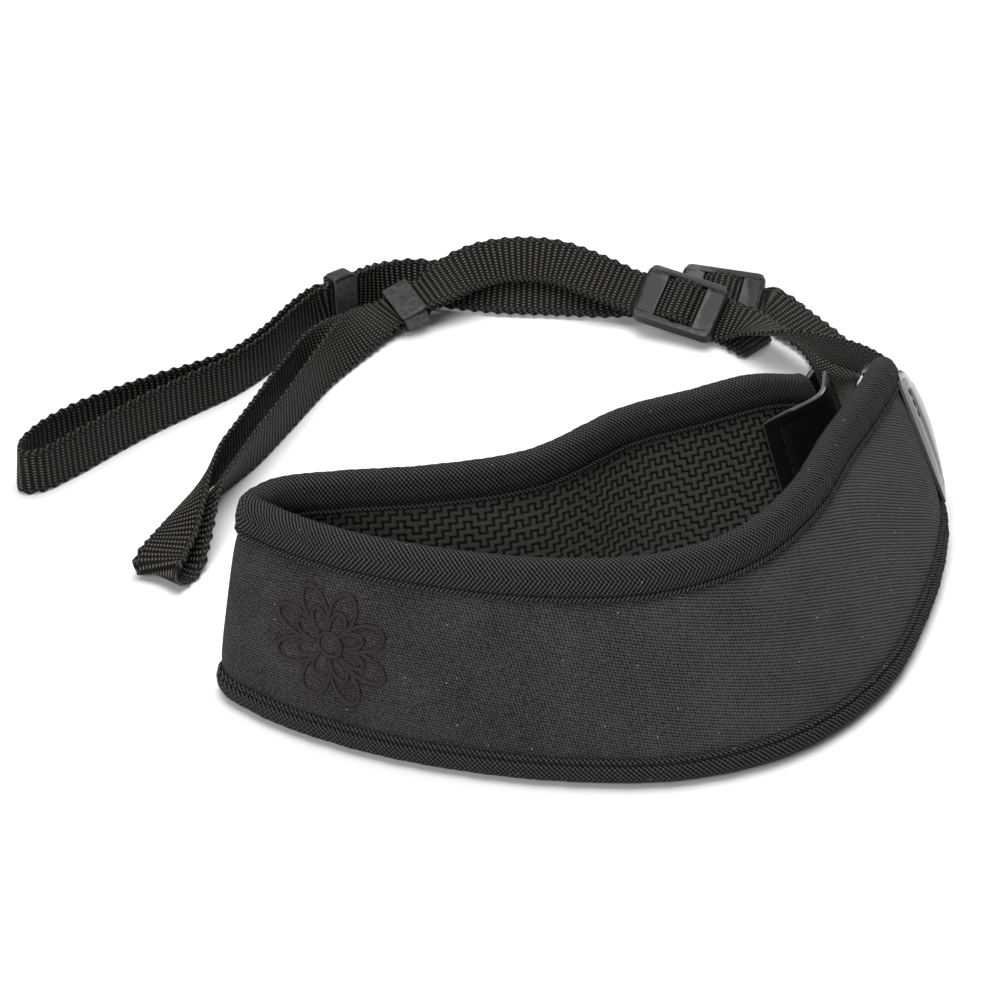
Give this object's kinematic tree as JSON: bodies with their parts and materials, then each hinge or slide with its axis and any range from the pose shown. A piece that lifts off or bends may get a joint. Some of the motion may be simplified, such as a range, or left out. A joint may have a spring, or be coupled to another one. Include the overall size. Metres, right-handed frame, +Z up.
{
  "type": "camera neck strap",
  "caption": "Padded neck strap folded on a table: bound foam pad with a grip lining, leather end tabs, and narrow webbing doubled through sliders and keepers into end loops.",
  "frame": {"origin": "centre of the bounding box on the surface it lies on", "axes": "+X along the longest extent, to the right as seen from the fold's side, +Y from the pad to the webbing, +Z up"},
  "size_m": [0.273, 0.2484, 0.0571],
  "materials": {
    "knit": "black stretch knit over foam",
    "grip": "embossed matt grip rubber",
    "tape": "black knitted binding tape",
    "leather": "smooth glossy black leather",
    "webbing": "black ribbed woven webbing",
    "plastic": "satin moulded black plastic"
  },
  "bodies": {
    "root": {"pad_foam": "knit", "pad_lining": "grip", "binding_top": "tape", "binding_foot": "tape", "tab_front_outer": "leather", "tab_front_inner": "leather", "tab_back_outer": "leather", "tab_back_inner": "leather", "strap_front": "webbing", "strap_back": "webbing", "slider_front": "plastic", "slider_back": "plastic", "keeper_front": "plastic", "keeper_back": "plastic"}
  },
  "joints": []
}
